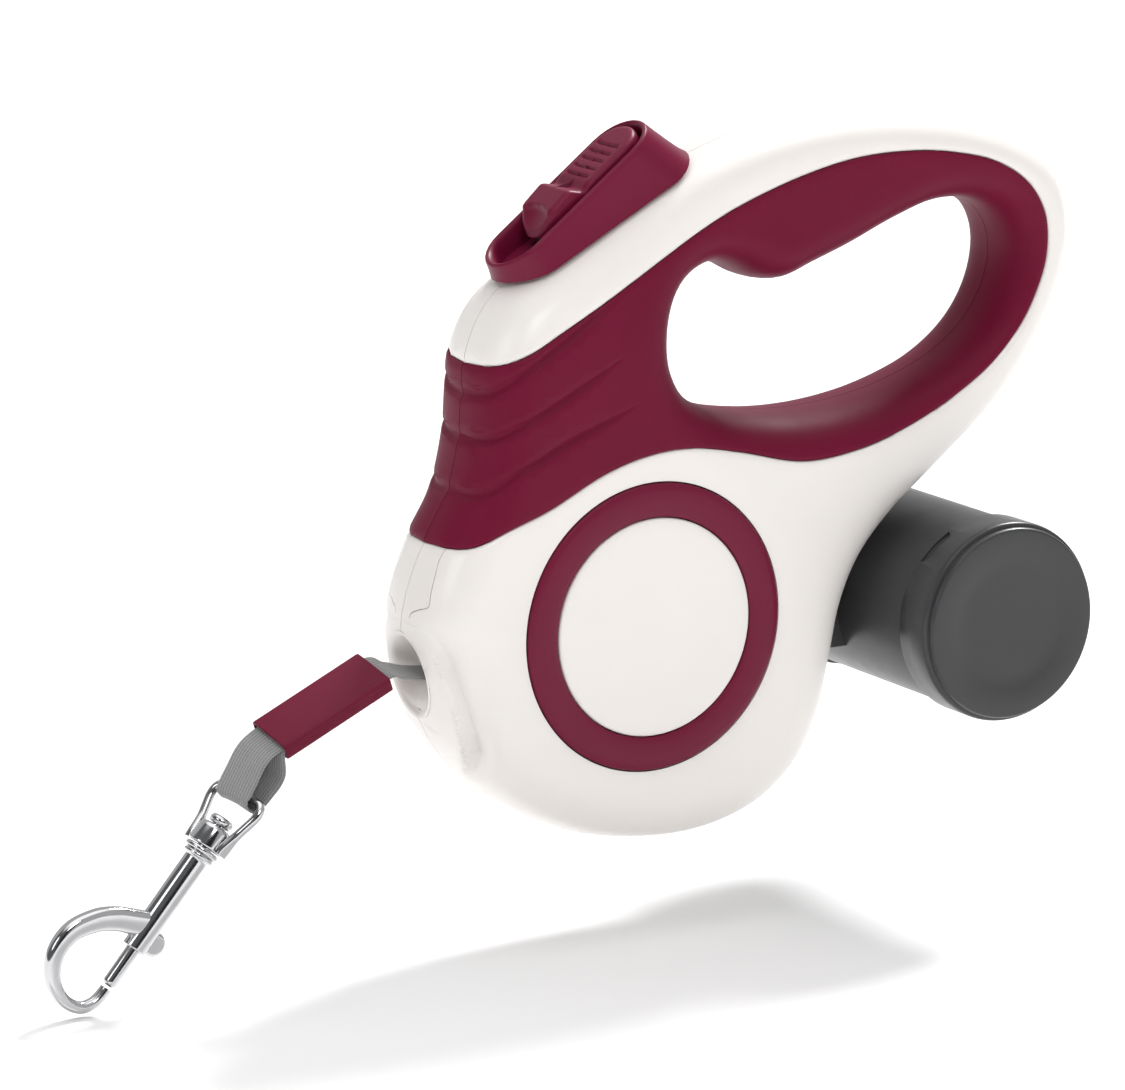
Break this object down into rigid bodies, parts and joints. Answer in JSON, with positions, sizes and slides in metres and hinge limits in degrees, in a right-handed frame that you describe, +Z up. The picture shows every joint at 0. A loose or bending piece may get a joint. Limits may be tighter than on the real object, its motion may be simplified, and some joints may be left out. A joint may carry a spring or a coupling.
{
  "type": "retractable leash",
  "caption": "Retractable tape leash with a thumb brake, soft grip round a finger hole, bolt snap and a round waste bag dispenser.",
  "frame": {"origin": "middle of the grip bar over the finger hole, where the hand holds it", "axes": "+X from the nozzle to the back of the handle, +Y along the reel's axis to the right side, +Z up"},
  "size_m": [0.2551, 0.075, 0.1791],
  "materials": {
    "housing_white": "warm white moulded plastic, satin",
    "soft_grip": "maroon soft-touch elastomer, satin",
    "maroon_plastic": "maroon moulded plastic, satin",
    "black_nylon": "moulded nylon",
    "spring_steel": "spring and shaft steel",
    "grey_webbing": "woven polyester tape",
    "maroon_sleeve": "flat plastic sleeve",
    "chrome": "chrome-plated zinc",
    "dark_plastic": "dark grey moulded plastic, satin gloss",
    "bag_film": "rolled polythene film",
    "card": "card tube"
  },
  "bodies": {
    "housing": {"left_shell": "housing_white", "right_shell": "housing_white", "left_grip": "soft_grip", "right_grip": "soft_grip", "nozzle": "housing_white", "left_trim_ring": "maroon_plastic", "right_trim_ring": "maroon_plastic", "left_side_disc": "housing_white", "right_side_disc": "housing_white", "button_bezel": "maroon_plastic", "axle": "spring_steel", "pawl_pin": "spring_steel", "housing_screw_1": "spring_steel", "housing_screw_2": "spring_steel", "housing_screw_3": "spring_steel", "housing_screw_4": "spring_steel", "housing_screw_5": "spring_steel", "button_spring": "spring_steel", "dispenser_bracket": "dark_plastic", "dispenser_barrel": "dark_plastic", "dispenser_end_cap": "dark_plastic", "bracket_screw": "spring_steel"},
    "press": {"button_carrier": "black_nylon"},
    "button": {"brake_button": "maroon_plastic"},
    "lever": {"brake_lever": "black_nylon"},
    "reel": {"spool": "black_nylon", "spool_flange": "black_nylon", "wound_tape": "grey_webbing", "power_spring": "spring_steel", "spring_cover": "black_nylon"},
    "tape_end": {"tape_lead": "grey_webbing", "tape_sleeve": "maroon_sleeve"},
    "eye": {"snap_eye": "chrome"},
    "hook": {"snap_body": "chrome", "bolt_spring": "spring_steel"},
    "bolt": {"snap_bolt": "chrome", "bolt_knob": "chrome"},
    "cap": {"dispenser_cap": "dark_plastic"},
    "roll": {"bag_roll": "bag_film", "bag_roll_core": "card"}
  },
  "joints": [
    {"name": "button_press", "type": "slide", "parent": "housing", "child": "press", "axis": [0.6088, 0, -0.7934], "range_m": [0, 0.0022], "stiffness_N_per_m": 900, "springref_m": -0.002, "deforming": ["button_spring"]},
    {"name": "lock_slide", "type": "slide", "parent": "press", "child": "button", "axis": [-0.7934, 0, -0.6088], "range_m": [0, 0.005]},
    {"name": "lever_turn", "type": "hinge", "parent": "housing", "child": "lever", "pos_m": [-0.0815, 0, -0.0349], "axis": [0, 1, 0], "range_deg": [0, 6.3]},
    {"name": "tape_pull", "type": "slide", "parent": "housing", "child": "tape_end", "axis": [-0.9081, 0, -0.4187], "range_m": [0, 0.3], "stiffness_N_per_m": 12, "springref_m": -0.5},
    {"name": "reel_spin", "type": "hinge", "parent": "housing", "child": "reel", "pos_m": [-0.055, 0, -0.0924], "axis": [0, 1, 0], "range_deg": [-450.5, 0.5]},
    {"name": "snap_pivot", "type": "hinge", "parent": "tape_end", "child": "eye", "pos_m": [-0.1483, 0, -0.1204], "axis": [-0.2332, 0.9511, 0.2027], "range_deg": [-75, 75]},
    {"name": "snap_swivel", "type": "hinge", "parent": "eye", "child": "hook", "pos_m": [-0.15749, 0, -0.13097], "axis": [-0.6561, 0, -0.7547], "continuous": true},
    {"name": "bolt_slide", "type": "slide", "parent": "hook", "child": "bolt", "axis": [0.6561, 0, 0.7547], "range_m": [0, 0.009], "stiffness_N_per_m": 250, "springref_m": -0.006, "deforming": ["bolt_spring"]},
    {"name": "cap_pull", "type": "slide", "parent": "housing", "child": "cap", "axis": [0, -1, 0], "range_m": [0, 0.02]},
    {"name": "roll_spin", "type": "hinge", "parent": "housing", "child": "roll", "pos_m": [0.0245, 0, -0.097], "axis": [0, 1, 0], "continuous": true}
  ],
  "couplings": [
    {"joint": "lever_turn", "follows": "button_press", "rad_per_m": 48},
    {"joint": "reel_spin", "follows": "tape_pull", "rad_per_m": -26.18}
  ]
}
